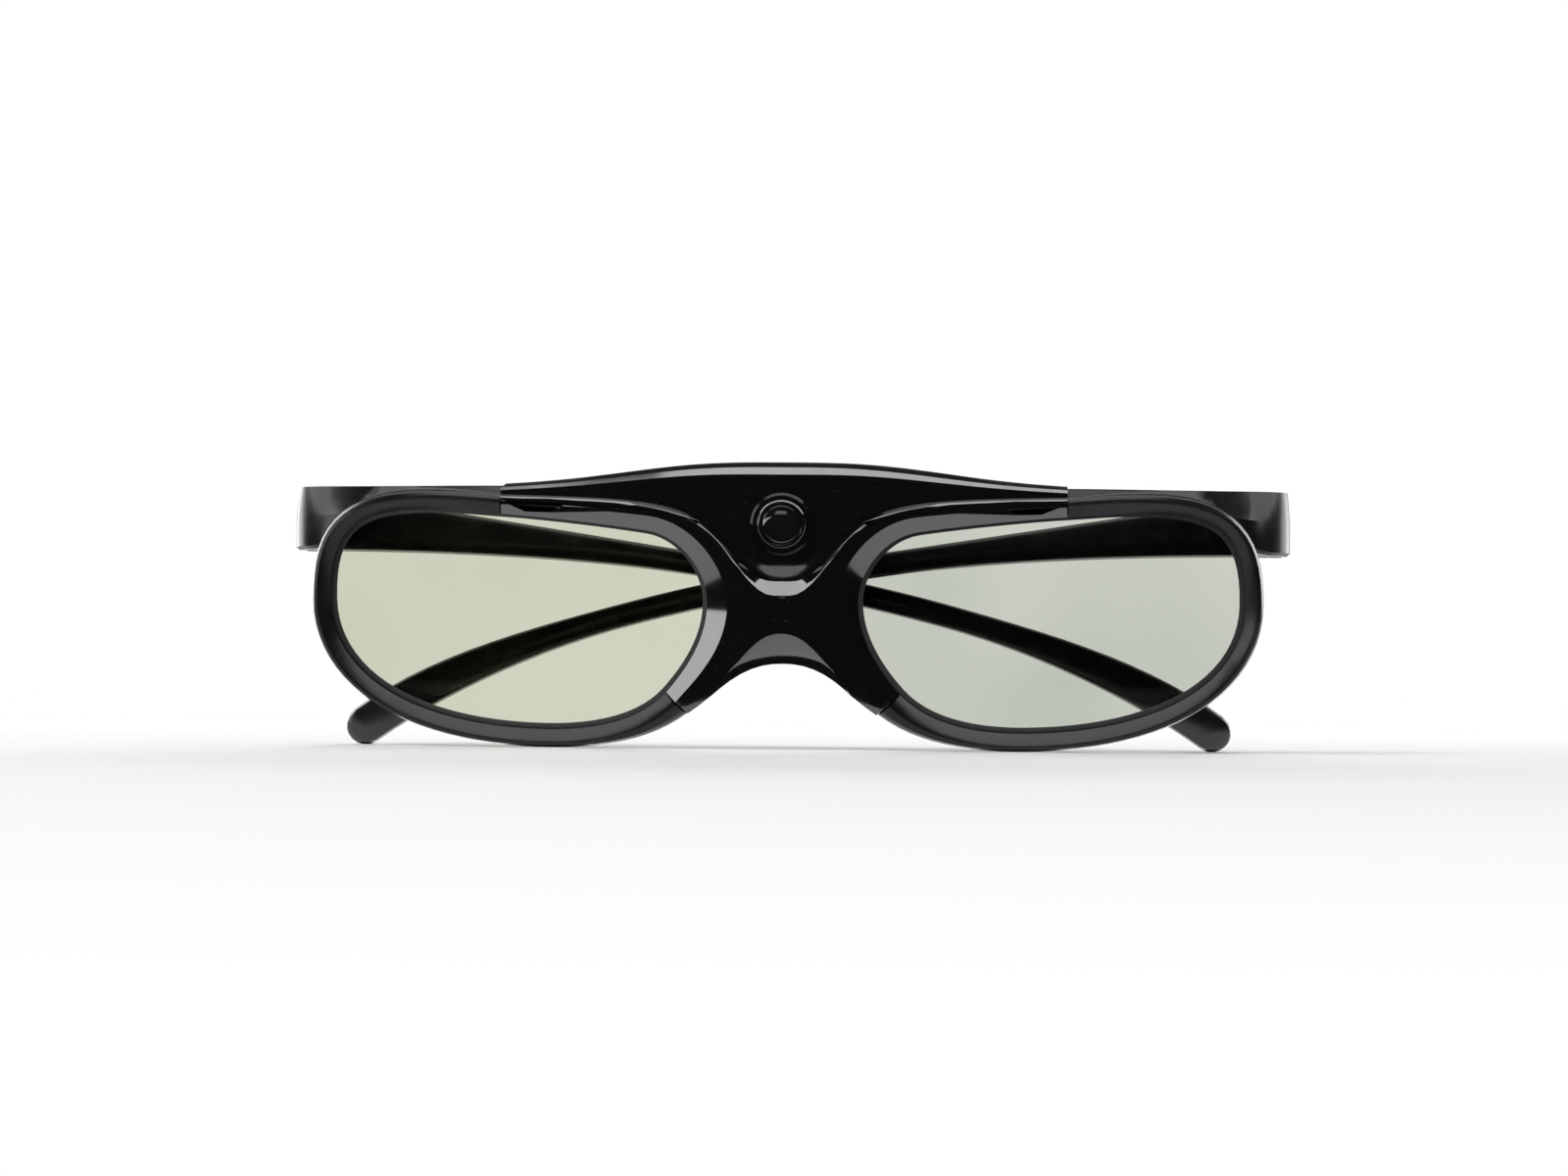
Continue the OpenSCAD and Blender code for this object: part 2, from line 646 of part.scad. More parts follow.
// Arm drawn open along the depth, with its hinge axis on the origin
arm_knots = [[0, butt_z], [58, 34.0], [123, 26.4], [arm_len, 3.32]];
function arm_at(t) = bez(arm_knots[0], arm_knots[1], arm_knots[2], arm_knots[3], t);
function arm_head(t) = let(g = slope(arm_knots[0], arm_knots[1], arm_knots[2], arm_knots[3], t)) g / norm(g);
function arm_half(s) = arm_hh + (butt_h / 2 - arm_hh) * pow(unit(1 - s / 64), 1.5)
  + (tip_hh - arm_hh) * ease((s - 112) / 42);
function arm_thick(s) = arm_t + (butt_t - arm_t) * unit(1 - s / 70) + 0.5 * ease((s - 110) / 45);
arm_mid = hinge_in - butt_t / 2;
function arm_ring(c, g, hh, th) =
  let(w = th / 2, r = min(0.9, hh * 0.4, w * 0.6), k = r * 0.3, n = [-g[1], g[0]])
  [for (p = [[w, r - hh], [w, hh - r], [w - k, hh - k], [w - r, hh], [r - w, hh], [k - w, hh - k], [-w, hh - r],
             [-w, r - hh], [k - w, k - hh], [r - w, -hh], [w - r, -hh], [w - k, k - hh]])
    [arm_mid + p[0], c[0] - butt_gap + 0.15 + n[0] * p[1], c[1] + n[1] * p[1]]];
function arm_body(t) = let(c = arm_at(t), s = c[0])
  arm_ring(c, t == 0 ? [1, 0] : arm_head(t), arm_half(s), arm_thick(s));
function arm_tip(a) = let(g = arm_head(1), c = arm_at(1) + g * tip_hh * sin(a) * 1.05)
  arm_ring(c, g, max(0.35, tip_hh * cos(a)), max(0.9, (arm_t + 0.5) * mix(1, cos(a), 0.7)));
arm_cap = [[0, 10, 11], [0, 9, 10], [0, 1, 9], [1, 8, 9], [1, 2, 8], [2, 7, 8], [2, 6, 7], [2, 3, 6], [3, 5, 6],
           [3, 4, 5]];

module arm() {
  difference() {
    union() {
      difference() {
        skin(concat([for (i = [0 : 36]) arm_body(i / 36)], [for (a = [25, 45, 62, 76, 86]) arm_tip(a)]),
          cap = arm_cap);
        translate([-9, -9, butt_low - 2])
          cube([9, 9, butt_h + 4]);
      }
      translate([0, 0, knuckle_low])
        cylinder(h = knuckle_high - knuckle_low, r = knuckle_r);
    }
    for (z = [butt_low - 2, knuckle_high]) {
      translate([0, 0, z])
        cylinder(h = knuckle_low - butt_low + 2, r = knuckle_r + 0.3);
      translate([-9, -9, z])
        cube([9, 9 + knuckle_r + 0.3, knuckle_low - butt_low + 2]);
    }
    translate([0, 0, butt_low - 2])
      cylinder(h = butt_h + 4, d = pin_d + 2 * pin_gap);
  }
}

module left_temple() {
  color([0.1, 0.1, 0.105])
    upright()
      translate([hinge_x, hinge_y, 0])
        rotate([0, 0, 90 + fold_in])
          arm();
}

module right_temple() {
  color([0.1, 0.1, 0.105])
    upright()
      translate([-hinge_x, hinge_y, 0])
        rotate([0, 0, -90 + fold_out])
          mirror([1, 0, 0])
            arm();
}

module hinge_screw() {
  translate([hinge_x, hinge_y, knuckle_low - hinge_gap - lug_h + 0.3])
    cylinder(h = 4 + 2 * hinge_gap + 2 * lug_h - 0.3, d = pin_d);
  translate([hinge_x, hinge_y, knuckle_high + hinge_gap + lug_h])
    cylinder(h = 0.7, d = pin_d + 1);
}

module left_hinge_screw() {
  color([0.55, 0.55, 0.57])
    upright()
      hinge_screw();
}

module right_hinge_screw() {
  color([0.55, 0.55, 0.57])
    upright()
      mirror([1, 0, 0])
        hinge_screw();
}

// Four screws driven from behind into the gloss cover
module frame_screws() {
  color([0.3, 0.3, 0.32])
    lean()
      for (s = [-1, 1])
        for (p = screw_at) {
          along(s * p[0], p[1], 1.9 + wrap(p[0]) * 0.9, head_w(p[0]) + 0.1, screw_d);
          along(s * p[0], p[1], head_w(p[0]), head_w(p[0]) + 1, screw_head_d);
        }
}

centre_cover();
left_bezel();
right_bezel();
rear_frame();
left_lens();
right_lens();
left_gasket();
right_gasket();
sensor_window();
photodiode();
main_board();
battery();
battery_leads();
usb_socket();
tact_switch();
power_button();
status_led();
left_flex();
right_flex();
left_temple();
right_temple();
left_hinge_screw();
right_hinge_screw();
frame_screws();
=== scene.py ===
# %% [markdown]
# ## Opening the imported frame
# The solids of the glasses come from the imported model, in metres, standing on the rims and the arm tips.
# Everything that follows dresses those solids: smooth copies stand for the shells that catch the light, and
# every piece gets a finish.

# %% Load the frame
import bpy
import bmesh
from math import radians, sin, cos
from mathutils import Matrix, Vector


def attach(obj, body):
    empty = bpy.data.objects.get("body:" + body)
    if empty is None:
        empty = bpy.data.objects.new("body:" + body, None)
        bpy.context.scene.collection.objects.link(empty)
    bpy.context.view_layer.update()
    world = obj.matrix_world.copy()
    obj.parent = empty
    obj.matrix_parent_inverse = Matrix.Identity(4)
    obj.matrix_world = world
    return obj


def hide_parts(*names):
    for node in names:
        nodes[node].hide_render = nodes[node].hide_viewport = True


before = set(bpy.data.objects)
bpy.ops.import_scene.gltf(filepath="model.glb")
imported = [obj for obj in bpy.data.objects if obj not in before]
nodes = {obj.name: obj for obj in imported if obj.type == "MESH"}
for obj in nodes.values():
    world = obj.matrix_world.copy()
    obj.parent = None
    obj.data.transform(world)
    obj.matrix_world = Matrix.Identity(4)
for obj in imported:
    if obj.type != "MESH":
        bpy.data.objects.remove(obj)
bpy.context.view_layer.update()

# %% [markdown]
# ## Camera
# The glasses are seen almost square on, from a little to their left and a hair above the table.
# A long lens keeps the front nearly free of perspective. The camera's three axes are worked out from
# three angles and put into its matrix, which is plainer than turning it in steps.

# %% Camera
AZIMUTH = radians(3.63)
RISE = radians(-1.62)
ROLL = radians(0.535)
DISTANCE = 0.5997
SENSOR_MM = 36
FOCAL_MM = 82.03
NEAREST = 0.01
aim = Vector((-0.0004, 0.0, 0.02698))
towards = Vector((sin(AZIMUTH) * cos(RISE), -cos(AZIMUTH) * cos(RISE), sin(RISE)))
right = (-towards).cross(Vector((0, 0, 1))).normalized()
up = right.cross(-towards)
level_right = right * cos(ROLL) + up * sin(ROLL)
level_up = up * cos(ROLL) - right * sin(ROLL)
spot = aim + towards * DISTANCE
bpy.ops.object.select_all(action="DESELECT")
bpy.ops.object.camera_add()
camera = bpy.context.object
camera.name = "photo_camera"
camera.data.sensor_width = SENSOR_MM
camera.data.lens = FOCAL_MM
camera.data.clip_start = NEAREST
camera.matrix_world = Matrix((
    (level_right.x, level_up.x, towards.x, spot.x),
    (level_right.y, level_up.y, towards.y, spot.y),
    (level_right.z, level_up.z, towards.z, spot.z),
    (0, 0, 0, 1)))
bpy.context.scene.camera = camera
print("camera at", tuple(round(c, 4) for c in spot))

# %% [markdown]
# ## Background
# The background is plain white. More lamps could bleach it, but they would bleach the glasses too. So the
# world gives white to what looks straight at it, through a lens or by a mirror, and a softer grey, which is
# the light that falls from all round, to everything else.

# %% World and view
ROUND_LIGHT = 0.45
scene = bpy.context.scene
scene.view_settings.view_transform = "Standard"
world = bpy.data.worlds.new("studio")
scene.world = world
world.use_nodes = True
sky = world.node_tree
for item in list(sky.nodes):
    sky.nodes.remove(item)
sky_out = sky.nodes.new("ShaderNodeOutputWorld")
sky_light = sky.nodes.new("ShaderNodeBackground")
sky_white = sky.nodes.new("ShaderNodeBackground")
sky_mix = sky.nodes.new("ShaderNodeMixShader")
ray = sky.nodes.new("ShaderNodeLightPath")
seen = sky.nodes.new("ShaderNodeMath")
seen.operation = "MAXIMUM"
seen_too = sky.nodes.new("ShaderNodeMath")
seen_too.operation = "MAXIMUM"
sky_light.inputs["Color"].default_value = (1.0, 1.0, 1.0, 1)
sky_light.inputs["Strength"].default_value = ROUND_LIGHT
sky_white.inputs["Color"].default_value = (1.0, 1.0, 1.0, 1)
sky_white.inputs["Strength"].default_value = 1.0
sky.links.new(ray.outputs["Is Camera Ray"], seen.inputs[0])
sky.links.new(ray.outputs["Is Transmission Ray"], seen.inputs[1])
sky.links.new(seen.outputs[0], seen_too.inputs[0])
sky.links.new(ray.outputs["Is Glossy Ray"], seen_too.inputs[1])
sky.links.new(seen_too.outputs[0], sky_mix.inputs[0])
sky.links.new(sky_light.outputs[0], sky_mix.inputs[1])
sky.links.new(sky_white.outputs[0], sky_mix.inputs[2])
sky.links.new(sky_mix.outputs[0], sky_out.inputs["Surface"])
print("world:", len(sky.nodes), "nodes")

# %% [markdown]
# ## Table
# A pale table carries the glasses and keeps their shadow. A curved paper sweep would hide its far edge.
# Here the paper is flat, and a round gradient turns it into plain white away from the glasses, so that no
# edge shows from any side.

# %% Table
TABLE_SIZE = 6
PAPER_SHADE = 0.95
FADE_PER_METRE = 1.9
WHITE_BELOW, PAPER_ABOVE = 0.1, 0.75
bpy.ops.object.select_all(action="DESELECT")
bpy.ops.mesh.primitive_plane_add(size=TABLE_SIZE, location=(0, 0, 0))
table = bpy.context.object
table.name = "table"
paper = bpy.data.materials.new("pale_table")
paper.use_nodes = True
paper_tree = paper.node_tree
paper_shader = paper_tree.nodes["Principled BSDF"]
paper_shader.inputs["Base Color"].default_value = (PAPER_SHADE, PAPER_SHADE, PAPER_SHADE, 1)
paper_shader.inputs["Roughness"].default_value = 0.9
paper_shader.inputs["Specular IOR Level"].default_value = 0.0
far_white = paper_tree.nodes.new("ShaderNodeEmission")
far_white.inputs["Strength"].default_value = 1.0
fade = paper_tree.nodes.new("ShaderNodeMixShader")
reach = paper_tree.nodes.new("ShaderNodeTexGradient")
reach.gradient_type = "SPHERICAL"
span = paper_tree.nodes.new("ShaderNodeMapping")
span.inputs["Scale"].default_value = (FADE_PER_METRE, FADE_PER_METRE, FADE_PER_METRE)
spot_on = paper_tree.nodes.new("ShaderNodeTexCoord")
edge = paper_tree.nodes.new("ShaderNodeValToRGB")
edge.color_ramp.elements[0].position = WHITE_BELOW
edge.color_ramp.elements[1].position = PAPER_ABOVE
edge.color_ramp.elements[0].color = (1, 1, 1, 1)
edge.color_ramp.elements[1].color = (0, 0, 0, 1)
paper_tree.links.new(spot_on.outputs["Object"], span.inputs["Vector"])
paper_tree.links.new(span.outputs["Vector"], reach.inputs["Vector"])
paper_tree.links.new(reach.outputs["Fac"], edge.inputs["Fac"])
paper_tree.links.new(edge.outputs["Color"], fade.inputs["Fac"])
paper_tree.links.new(paper_shader.outputs["BSDF"], fade.inputs[1])
paper_tree.links.new(far_white.outputs["Emission"], fade.inputs[2])
paper_tree.links.new(fade.outputs["Shader"], paper_tree.nodes["Material Output"].inputs["Surface"])
table.data.materials.append(paper)
print("table:", table.name)

# %% [markdown]
# ## Flags and soft cards
# Gloss black only looks black when it mirrors something dark, and an edge only shows when it mirrors
# something bright. So a studio hangs dark flags and bright cards where the gloss looks. These are seen by
# reflections alone: no camera, shadow or matt surface knows of them.

# %% Card helper
def studio_card(name, size, place, turn, shade):
    bpy.ops.object.select_all(action="DESELECT")
    bpy.ops.mesh.primitive_plane_add(size=1, location=place, rotation=[radians(a) for a in turn])
    card = bpy.context.object
    card.name = name
    card.scale = (size[0], size[1], 1)
    bpy.ops.object.transform_apply(location=True, rotation=True, scale=True)
    card.visible_camera = False
    card.visible_diffuse = False
    card.visible_transmission = False
    card.visible_shadow = False
    card.visible_volume_scatter = False
    glow = bpy.data.materials.new(name)
    glow.use_nodes = True
    shader = glow.node_tree.nodes["Principled BSDF"]
    shader.inputs["Base Color"].default_value = (0, 0, 0, 1)
    shader.inputs["Specular IOR Level"].default_value = 0
    shader.inputs["Emission Color"].default_value = (1, 1, 1, 1)
    shader.inputs["Emission Strength"].default_value = shade
    card.data.materials.append(glow)
    return card


print("card helper ready")

# %% Hang the cards
FLAT, UPRIGHT, SIDEWAYS = (0, 0, 0), (90, 0, 0), (90, 0, 90)
DARK, DIM = 0.01, 0.02
card_rows = [
    ("flag_table", (2.0, 0.715), (0, -0.3875, 0.0004), FLAT, DARK),
    ("flag_front", (2.4, 1.3), (0, -0.8, 0.65), UPRIGHT, DARK),
    ("flag_left", (1.2, 1.3), (-1.1, -0.25, 0.65), SIDEWAYS, DARK),
    ("flag_right", (1.2, 1.3), (1.1, -0.25, 0.65), SIDEWAYS, DARK),
    ("flag_roof", (2.4, 2.2), (0, 0.2, 1.3), FLAT, DARK),
    ("flag_back", (1.6, 0.6), (0, 1.3, 0.42), UPRIGHT, DIM),
    ("flag_arch", (0.016, 0.014), (0, -0.003, 0.0006), FLAT, DIM),
    ("bounce_under", (0.5, 0.1), (0, 0.02, 0.0004), FLAT, 2.6),
    ("soft_top", (1.5, 0.37), (-0.15, -0.295, 0.5), FLAT, 9.0),
    ("soft_top_back", (0.30, 0.35), (-0.03, 0.215, 0.5), FLAT, 2.0),
    ("soft_side_left", (0.8, 0.42), (-0.66, -0.03, 0.5), (60, 0, -90), 8.0),
    ("soft_side_right", (0.8, 0.42), (0.66, -0.03, 0.5), (60, 0, 90), 8.0),
    ("soft_left", (0.28, 0.34), (-0.678, -0.341, 0.172), (90, 0, -63.5), 9.0),
    ("bounce_left", (0.625, 0.334), (-0.4375, -0.233, 0.0006), FLAT, 9.0),
    ("soft_back_left", (0.7, 0.7), (-0.8, 0.65, 0.36), (90, 0, 50), 6.5),
    ("soft_back_right", (0.7, 0.7), (0.8, 0.65, 0.36), (90, 0, -50), 6.5),
    ("soft_front", (0.09, 0.04), (-0.021, -0.3, 0.046), UPRIGHT, 2.4),
]
cards = [studio_card(*row) for row in card_rows]
print("cards:", [card.name for card in cards])

# %% [markdown]
# ## Lamps
# Two large soft lamps light the matt surfaces. One stands ahead, high and to one side, and fills the front.
# The other stands low behind the glasses, which throws their shadow forwards over the table.

# %% Lamps
LAMP_AIM = Vector((0, 0, 0.025))


def soft_lamp(name, place, size, power):
    bpy.ops.object.select_all(action="DESELECT")
    bpy.ops.object.light_add(type="AREA", location=place)
    lamp = bpy.context.object
    lamp.name = name
    lamp.data.shape = "RECTANGLE"
    lamp.data.size, lamp.data.size_y = size
    lamp.data.energy = power
    lamp.rotation_euler = (LAMP_AIM - Vector(place)).to_track_quat("-Z", "Y").to_euler()
    lamp.visible_camera = False
    lamp.visible_glossy = False
    return lamp


lamps = [
    soft_lamp("key_lamp", (-0.55, -0.45, 0.9), (0.5, 0.5), 5.0),
    soft_lamp("back_lamp", (0.05, 1.3, 0.28), (0.8, 0.4), 22.0),
]
print("lamps:", [lamp.name for lamp in lamps])

# %% [markdown]
# ## Helpers for finishes
# Each finish is one Principled shader with a few textures on Object coordinates, so a pattern keeps its
# real size on every piece. Numbers that are the same all over stay on the shader's sockets.

# %% Start a finish and speckle it
def start_finish(name, color, rough, **more):
    mat = bpy.data.materials.new(name)
    mat.use_nodes = True
    tree = mat.node_tree
    shader = tree.nodes["Principled BSDF"]
    shader.inputs["Base Color"].default_value = (*color, 1)
    shader.inputs["Roughness"].default_value = rough
    for socket, value in more.items():
        shader.inputs[socket.replace("_", " ")].default_value = value
    place = tree.nodes.new("ShaderNodeTexCoord")
    return mat, tree, shader, place


def speckle(tree, place, scale, detail=2.0, rough=0.5, stretch=(1, 1, 1)):
    turn = tree.nodes.new("ShaderNodeMapping")
    turn.inputs["Scale"].default_value = stretch
    noise = tree.nodes.new("ShaderNodeTexNoise")
    noise.inputs["Scale"].default_value = scale
    noise.inputs["Detail"].default_value = detail
    noise.inputs["Roughness"].default_value = rough
    tree.links.new(place.outputs["Object"], turn.inputs["Vector"])
    tree.links.new(turn.outputs["Vector"], noise.inputs["Vector"])
    return noise


print("speckle helpers ready")

# %% Turn a pattern into shades, a socket's value or a relief
def shades(tree, source, *stops):
    ramp = tree.nodes.new("ShaderNodeValToRGB")
    while len(ramp.color_ramp.elements) < len(stops):
        ramp.color_ramp.elements.new(0.5)
    for element, (at, color) in zip(ramp.color_ramp.elements, stops):
        element.position = at
        element.color = (*color, 1) if isinstance(color, tuple) else (color, color, color, 1)
    tree.links.new(source, ramp.inputs["Fac"])
    return ramp.outputs["Color"]


def vary(tree, shader, socket, pattern, *stops):
    tree.links.new(shades(tree, pattern.outputs["Fac"], *stops), shader.inputs[socket])


def raise_surface(tree, shader, pattern, depth, strength):
    bump = tree.nodes.new("ShaderNodeBump")
    bump.inputs["Strength"].default_value = strength
    bump.inputs["Distance"].default_value = depth
    tree.links.new(pattern.outputs["Fac"], bump.inputs["Height"])
    tree.links.new(bump.outputs["Normal"], shader.inputs["Normal"])


print("pattern helpers ready")

# %% [markdown]
# ## Gloss black of the centre cover
# The cover is moulded black plastic with a mirror polish. A real one is never quite clean: it carries a
# faint smear that softens the mirror in places, and a few pale specks of dust.

# %% Gloss black
CLEAN_BLACK = (0.0045, 0.0045, 0.005)
gloss_black, tree, shader, place = start_finish("gloss_black", (0.005, 0.005, 0.0055), 0.06)
dust = speckle(tree, place, 3800, 0.0)
vary(tree, shader, "Base Color", dust, (0.0, CLEAN_BLACK), (0.83, CLEAN_BLACK), (0.88, 0.06))
smear = speckle(tree, place, 140, 3.0)
vary(tree, shader, "Roughness", smear, (0.35, 0.05), (0.7, 0.11))
swell = speckle(tree, place, 90, 1.0)
raise_surface(tree, shader, swell, 0.00001, 0.35)
print("finish:", gloss_black.name)

# %% [markdown]
# ## Satin black of the shells and arms
# The rim bezels, the rear frame and the arms have a fine spark-eroded grain, which spreads the light into
# a soft grey sheen along every edge. A slow noise varies the grey, and a fast one raises the grain. The
# arms are smoother than the shells.

# %% Satin black
def satin(name, dark, light, rough, sheen, grain_strength):
    mat, tree, shader, place = start_finish(name, dark, rough, Specular_IOR_Level=sheen)
    cloud = speckle(tree, place, 420, 4.0)
    vary(tree, shader, "Base Color", cloud, (0.3, dark), (0.72, light))
    polish = speckle(tree, place, 160, 2.0)
    vary(tree, shader, "Roughness", polish, (0.3, rough - 0.05), (0.7, rough + 0.05))
    grain = speckle(tree, place, 5200, 1.0)
    raise_surface(tree, shader, grain, 0.00001, grain_strength)
    return mat


satin_shell = satin("satin_shell_black", (0.005, 0.005, 0.006), (0.009, 0.009, 0.011), 0.24, 0.11, 0.4)
satin_arm = satin("satin_arm_black", (0.003, 0.003, 0.0035), (0.006, 0.006, 0.0065), 0.25, 0.25, 0.12)
print("finishes:", satin_shell.name, satin_arm.name)

# %% [markdown]
# ## Shutter lenses
# Each lens is a sandwich of glass and two films with a liquid between them. Switched off it is clear with
# a faint yellow-green cast, a little stronger on one side, and light from behind comes through unscattered.
# Real refraction would bend the arms behind a plate that is nearly flat by next to nothing, so a tinted
# clear shader does, with a gloss over it that grows towards a low angle. The tints are partly painted shade:
# they are darker than the bare cast, and broad random patches darken them further, standing in for soft
# shadows behind the lenses.

# %% Lens glass
def shutter_glass(name, tint, shade_tint):
    mat, tree, shader, place = start_finish(name, (0.0, 0.0, 0.0), 0.03)
    # Painted shade, partly: broad random patches of a deeper tint stand in for soft shadows seen through the
    # lens, besides the film's own slight unevenness.
    film_and_shade = speckle(tree, place, 35, 1.0)
    clear = tree.nodes.new("ShaderNodeBsdfTransparent")
    vary(tree, clear, "Color", film_and_shade, (0.3, tint), (0.75, shade_tint))
    mark = speckle(tree, place, 260, 3.0)
    vary(tree, shader, "Roughness", mark, (0.5, 0.02), (0.8, 0.06))
    shine = tree.nodes.new("ShaderNodeLayerWeight")
    shine.inputs["Blend"].default_value = 0.1
    face = tree.nodes.new("ShaderNodeMixShader")
    share = shades(tree, shine.outputs["Facing"], (0.0, 0.035), (1.0, 0.9))
    tree.links.new(share, face.inputs["Fac"])
    tree.links.new(clear.outputs["BSDF"], face.inputs[1])
    tree.links.new(shader.outputs["BSDF"], face.inputs[2])
    tree.links.new(face.outputs["Shader"], tree.nodes["Material Output"].inputs["Surface"])
    return mat


# Both tints are partly painted shade: they are darkened beyond the lens's own cast to take in soft shadows seen
# through it.
left_glass = shutter_glass("left_shutter_glass", (0.80, 0.815, 0.77), (0.74, 0.76, 0.715))
right_glass = shutter_glass("right_shutter_glass", (0.84, 0.84, 0.765), (0.81, 0.815, 0.73))
print("finishes:", left_glass.name, right_glass.name)

# %% [markdown]
# ## Mask, window and chip
# The mask around a lens is matt rubber, with a fine fluff that drinks the light. The sensor's window is dark
# plastic that only infrared passes, and the sensor behind it is a chip in sandy black resin.

# %% Rubber, window and chip
mask_rubber, tree, shader, place = start_finish("mask_rubber", (0.010, 0.010, 0.010), 0.75)
fluff = speckle(tree, place, 2600, 2.0)
vary(tree, shader, "Base Color", fluff, (0.35, 0.007), (0.8, 0.020))
raise_surface(tree, shader, fluff, 0.00002, 0.6)

window_dark, tree, shader, place = start_finish("window_dark", (0.005, 0.005, 0.005), 0.05)
depth = speckle(tree, place, 300, 1.0)
vary(tree, shader, "Base Color", depth, (0.3, (0.004, 0.004, 0.0042)), (0.8, (0.008, 0.008, 0.0082)))
vary(tree, shader, "Roughness", depth, (0.3, 0.04), (0.8, 0.09))

chip_black, tree, shader, place = start_finish("chip_black", (0.03, 0.03, 0.035), 0.5)
sand = speckle(tree, place, 4200, 2.0)
vary(tree, shader, "Base Color", sand, (0.3, (0.02, 0.02, 0.024)), (0.8, (0.05, 0.05, 0.055)))
raise_surface(tree, shader, sand, 0.00002, 0.4)
print("finishes:", mask_rubber.name, window_dark.name, chip_black.name)

# %% [markdown]
# ## Board, ribbon and cell
# Behind the cover sit a circuit board under green lacquer, amber ribbons with fine copper lines, and a cell
# in crinkled foil. They show only when the part is taken apart, yet each gets the finish of the real thing.
# A brick pattern laid flat on the board does for its tracks.

# %% Board
board_green, tree, shader, place = start_finish("board_green", (0.02, 0.12, 0.05), 0.35)
tracks = tree.nodes.new("ShaderNodeTexBrick")
tracks.inputs["Scale"].default_value = 420
tracks.inputs["Color1"].default_value = (0.012, 0.10, 0.04, 1)
tracks.inputs["Color2"].default_value = (0.018, 0.13, 0.055, 1)
tracks.inputs["Mortar"].default_value = (0.03, 0.20, 0.09, 1)
tracks.inputs["Mortar Size"].default_value = 0.06
flat_view = tree.nodes.new("ShaderNodeMapping")
flat_view.inputs["Rotation"].default_value = (radians(90), 0, 0)
tree.links.new(place.outputs["Object"], flat_view.inputs["Vector"])
tree.links.new(flat_view.outputs["Vector"], tracks.inputs["Vector"])
tree.links.new(tracks.outputs["Color"], shader.inputs["Base Color"])
raise_surface(tree, shader, tracks, 0.00003, 0.5)
print("finish:", board_green.name)

# %% Ribbon and cell
ribbon_amber, tree, shader, place = start_finish("ribbon_amber", (0.45, 0.22, 0.04), 0.3)
lines = tree.nodes.new("ShaderNodeTexWave")
lines.inputs["Scale"].default_value = 800
lines.inputs["Distortion"].default_value = 0.2
tree.links.new(place.outputs["Object"], lines.inputs["Vector"])
vary(tree, shader, "Base Color", lines, (0.3, (0.45, 0.20, 0.035)), (0.7, (0.62, 0.34, 0.10)))

cell_foil, tree, shader, place = start_finish("cell_foil", (0.66, 0.67, 0.69), 0.35, Metallic=1.0)
crinkle = speckle(tree, place, 700, 4.0)
vary(tree, shader, "Roughness", crinkle, (0.3, 0.28), (0.75, 0.45))
vary(tree, shader, "Base Color", crinkle, (0.3, (0.60, 0.61, 0.63)), (0.75, (0.70, 0.71, 0.73)))
raise_surface(tree, shader, crinkle, 0.00008, 0.5)
print("finishes:", ribbon_amber.name, cell_foil.name)

# %% [markdown]
# ## Leads, light pipe and steel
# The cell's leads wear red vinyl, and the light pipe is milky clear plastic. The charging socket and the
# screws are brushed steel: a noise that is stretched along one axis draws the brush lines.

# %% Lead and light pipe
lead_red, tree, shader, place = start_finish("lead_red", (0.35, 0.02, 0.015), 0.45)
skin = speckle(tree, place, 1500, 2.0)
vary(tree, shader, "Base Color", skin, (0.3, (0.30, 0.016, 0.012)), (0.8, (0.42, 0.03, 0.02)))

pipe_clear, tree, shader, place = start_finish("pipe_clear", (0.85, 0.86, 0.88), 0.2, Transmission_Weight=0.6)
milk = speckle(tree, place, 900, 2.0)
vary(tree, shader, "Base Color", milk, (0.3, (0.78, 0.79, 0.81)), (0.8, (0.90, 0.91, 0.92)))
print("finishes:", lead_red.name, pipe_clear.name)

# %% Steel
BRUSH_STRETCH = (0.15, 1, 1)


def brushed(name, dark, light, rough):
    mat, tree, shader, place = start_finish(name, dark, rough, Metallic=1.0)
    lines = speckle(tree, place, 2400, 2.0, 0.5, BRUSH_STRETCH)
    vary(tree, shader, "Base Color", lines, (0.3, dark), (0.75, light))
    vary(tree, shader, "Roughness", lines, (0.3, rough - 0.08), (0.75, rough + 0.08))
    raise_surface(tree, shader, lines, 0.00001, 0.4)
    return mat


socket_steel = brushed("socket_steel", (0.55, 0.55, 0.57), (0.66, 0.66, 0.68), 0.3)
screw_steel = brushed("screw_steel", (0.10, 0.10, 0.11), (0.22, 0.22, 0.23), 0.34)
print("finishes:", socket_steel.name, screw_steel.name)

# %% [markdown]
# ## Dressing the nodes that stay
# A node whose shape is already right keeps its solid. Only its material changes.

# %% Dress the nodes that stay
def paint(node, finish):
    mesh = nodes[node].data
    mesh.materials.clear()
    mesh.materials.append(finish)


stay = {
    "left_lens": left_glass, "right_lens": right_glass,
    "left_gasket": mask_rubber, "right_gasket": mask_rubber,
    "photodiode": chip_black, "main_board": board_green,
    "battery": cell_foil, "battery_leads": lead_red,
    "usb_socket": socket_steel, "tact_switch": socket_steel, "status_led": pipe_clear,
    "left_flex": ribbon_amber, "right_flex": ribbon_amber,
}
for node, finish in stay.items():
    paint(node, finish)
print("painted:", len(stay), "nodes")

# %% [markdown]
# ## Smooth shells
# A solid arrives as loose triangles, and its curved faces would show as facets. Each shell is a copy of its
# solid: the copy's triangles are merged, flat ones are joined, small hard pieces get a narrow bevel, because
# no real edge is knife sharp, and the rest is shaded smooth up to an angle. The copy then stands for the node
# and rides on the node's body.

# %% Shell helper
MERGE_WITHIN = 0.000004
FLAT_WITHIN = radians(0.2)


